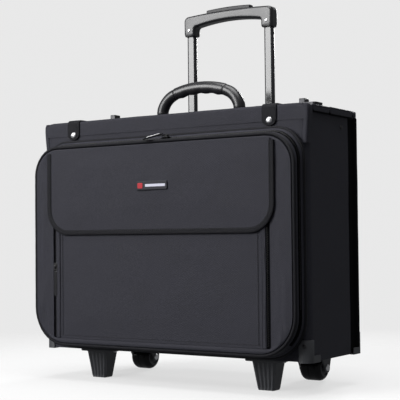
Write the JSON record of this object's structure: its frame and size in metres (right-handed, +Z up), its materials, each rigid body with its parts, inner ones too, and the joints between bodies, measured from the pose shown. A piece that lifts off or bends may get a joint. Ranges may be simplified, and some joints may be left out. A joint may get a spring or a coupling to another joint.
{
  "type": "rolling laptop case",
  "caption": "Stiff black fabric wheeled case with a flapped front pocket, split lid, carry handle, two wheels, two feet and a telescopic pull handle.",
  "frame": {"origin": "on the ground, under the middle of the case", "axes": "+Z up, -Y towards the pocket side, +X to the right of someone facing the pocket side"},
  "size_m": [0.465, 0.2265, 0.577],
  "materials": {
    "case_fabric": "black woven nylon over board and foam",
    "lining": "thin black lining cloth",
    "binding": "black coated binding",
    "zip_tape": "black coil zip on woven tape",
    "zip_metal": "gunmetal, semi-gloss",
    "rivet_metal": "dark plated steel",
    "lock_metal": "dark plated, satin",
    "moulded_plastic": "black moulded, satin",
    "grip_plastic": "black moulded, semi-gloss",
    "button_plastic": "dark grey moulded, gloss",
    "tube_metal": "black anodised, semi-gloss",
    "tyre_rubber": "black, smooth",
    "badge_enamel": "black plate with a plain red and a plain light field"
  },
  "bodies": {
    "case": {"front_panel": "case_fabric", "rear_panel": "case_fabric", "side_panel_left": "case_fabric", "side_panel_right": "case_fabric", "bottom_panel": "case_fabric", "base_board": "lining", "laptop_divider": "lining", "rear_top_strip": "case_fabric", "corner_guards": "moulded_plastic", "corner_rivets": "rivet_metal", "case_rivets": "rivet_metal", "hinge_straps": "binding", "pocket_rear_gusset": "case_fabric", "rear_piping": "binding", "feet": "moulded_plastic", "foot_screws": "rivet_metal", "wheel_housings": "moulded_plastic", "wheel_axles": "rivet_metal", "trolley_base": "moulded_plastic", "trolley_top_bracket": "moulded_plastic", "outer_tubes": "tube_metal"},
    "front_flap": {"front_flap": "case_fabric", "flap_straps": "binding", "lock_strikes": "lock_metal"},
    "rear_flap": {"rear_flap": "case_fabric", "lock_bodies": "lock_metal", "handle_mounts": "moulded_plastic", "handle_pins": "rivet_metal"},
    "carry_handle": {"handle_grip": "moulded_plastic", "handle_legs": "moulded_plastic"},
    "lock_slide_left": {"lock_slide_left": "lock_metal"},
    "lock_slide_right": {"lock_slide_right": "lock_metal"},
    "pocket_front": {"pocket_front_gusset": "case_fabric", "front_piping": "binding", "pocket_front_panel": "case_fabric", "accessory_lining": "lining", "accessory_panel": "case_fabric", "main_zip_chain": "zip_tape", "side_zips": "zip_tape"},
    "pocket_flap": {"pocket_flap": "case_fabric", "flap_binding": "binding", "badge": "badge_enamel"},
    "main_slider": {"main_zip_slider": "zip_metal"},
    "main_pull": {"main_zip_pull": "zip_metal"},
    "side_slider_left": {"side_zip_slider_left": "zip_metal"},
    "side_pull_left": {"side_zip_pull_left": "zip_metal"},
    "side_slider_right": {"side_zip_slider_right": "zip_metal", "side_zip_pull_right": "zip_metal"},
    "middle_stage": {"middle_tubes": "tube_metal", "stage_collars": "moulded_plastic"},
    "grip": {"inner_tubes": "tube_metal", "grip_ends": "grip_plastic", "grip_bar": "grip_plastic", "grip_screws": "rivet_metal", "button_springs": "rivet_metal"},
    "grip_button": {"grip_button": "button_plastic"},
    "wheel_left": {"wheel_hub_left": "moulded_plastic", "wheel_tyre_left": "tyre_rubber"},
    "wheel_right": {"wheel_hub_right": "moulded_plastic", "wheel_tyre_right": "tyre_rubber"}
  },
  "joints": [
    {"name": "front_flap_hinge", "type": "hinge", "parent": "case", "child": "front_flap", "pos_m": [0, -0.074, 0.391], "axis": [1, 0, 0], "range_deg": [0, 180]},
    {"name": "rear_flap_hinge", "type": "hinge", "parent": "case", "child": "rear_flap", "pos_m": [0, 0.06545, 0.391], "axis": [-1, 0, 0], "range_deg": [0, 60]},
    {"name": "carry_handle_pivot", "type": "hinge", "parent": "rear_flap", "child": "carry_handle", "pos_m": [0, 0.0157, 0.399], "axis": [1, 0, 0], "range_deg": [0, 75]},
    {"name": "lock_slide_left_push", "type": "slide", "parent": "rear_flap", "child": "lock_slide_left", "axis": [-1, 0, 0], "range_m": [0, 0.006], "stiffness_N_per_m": 150, "springref_m": -0.004},
    {"name": "lock_slide_right_push", "type": "slide", "parent": "rear_flap", "child": "lock_slide_right", "axis": [1, 0, 0], "range_m": [0, 0.006], "stiffness_N_per_m": 150, "springref_m": -0.004},
    {"name": "pocket_front_tilt", "type": "hinge", "parent": "case", "child": "pocket_front", "pos_m": [0, -0.0893, 0.052], "axis": [1, 0, 0], "range_deg": [0, 35]},
    {"name": "pocket_flap_hinge", "type": "hinge", "parent": "pocket_front", "child": "pocket_flap", "pos_m": [0, -0.1068, 0.345], "axis": [-1, 0, 0], "range_deg": [0, 100]},
    {"name": "main_zip_slide", "type": "slide", "parent": "pocket_front", "child": "main_slider", "axis": [1, 0, 0], "range_m": [-0.185, 0.16]},
    {"name": "main_zip_pull_swing", "type": "hinge", "parent": "main_slider", "child": "main_pull", "pos_m": [0.0085, -0.0923, 0.36], "axis": [-0.6561, 0.7547, 0], "range_deg": [0, 100]},
    {"name": "side_zip_left_slide", "type": "slide", "parent": "pocket_front", "child": "side_slider_left", "axis": [0, 0, 1], "range_m": [-0.06, 0.045]},
    {"name": "side_zip_left_pull_swing", "type": "hinge", "parent": "side_slider_left", "child": "side_pull_left", "pos_m": [-0.184, -0.10635, 0.1627], "axis": [-1, 0, 0], "range_deg": [0, 100]},
    {"name": "side_zip_right_slide", "type": "slide", "parent": "pocket_front", "child": "side_slider_right", "axis": [0, 0, 1], "range_m": [-0.17, 0.045]},
    {"name": "trolley_stage_slide", "type": "slide", "parent": "case", "child": "middle_stage", "axis": [0, 0, 1], "range_m": [0, 0.25]},
    {"name": "trolley_grip_slide", "type": "slide", "parent": "middle_stage", "child": "grip", "axis": [0, 0, 1], "range_m": [-0.135, 0.1]},
    {"name": "grip_button_push", "type": "slide", "parent": "grip", "child": "grip_button", "axis": [0, 0, -1], "range_m": [0, 0.0045], "stiffness_N_per_m": 400, "springref_m": -0.003, "deforming": ["button_springs"]},
    {"name": "wheel_left_spin", "type": "hinge", "parent": "case", "child": "wheel_left", "pos_m": [-0.155, 0.0802, 0.0195], "axis": [1, 0, 0], "continuous": true},
    {"name": "wheel_right_spin", "type": "hinge", "parent": "case", "child": "wheel_right", "pos_m": [0.155, 0.0802, 0.0195], "axis": [1, 0, 0], "continuous": true}
  ]
}
